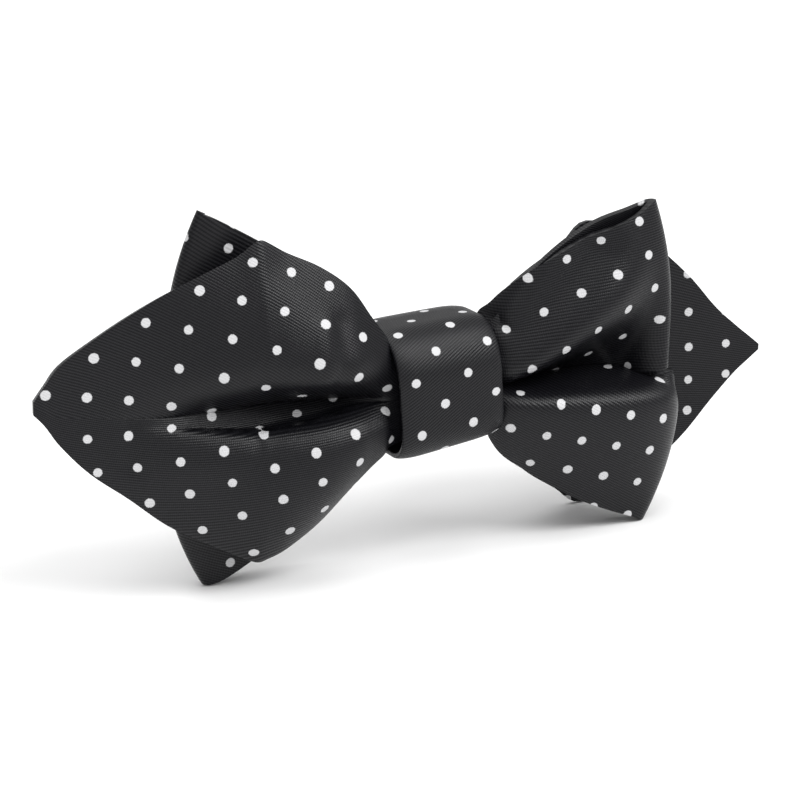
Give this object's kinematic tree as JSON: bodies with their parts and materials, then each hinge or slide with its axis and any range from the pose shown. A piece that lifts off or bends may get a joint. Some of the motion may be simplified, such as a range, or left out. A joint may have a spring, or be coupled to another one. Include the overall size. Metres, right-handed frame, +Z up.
{
  "type": "diamond point bow tie",
  "caption": "Pre-tied bow tie in dotted satin, diamond points and folded loops gathered in a knot with a rear neck band slot.",
  "frame": {"origin": "middle of the bounding box, on the surface the tie stands on", "axes": "+X along the bow from its left point to its right point, +Z up, the front faces -Y"},
  "size_m": [0.1184, 0.0232, 0.0565],
  "materials": {
    "dotted_satin_front": "black satin twill with white pin dots",
    "dotted_satin_back": "black satin twill with white pin dots",
    "dotted_satin_knot": "black satin twill with white pin dots, cut on the bias"
  },
  "bodies": {
    "root": {"front_bow": "dotted_satin_front", "back_bow": "dotted_satin_back", "knot_wrap": "dotted_satin_knot"}
  },
  "joints": []
}
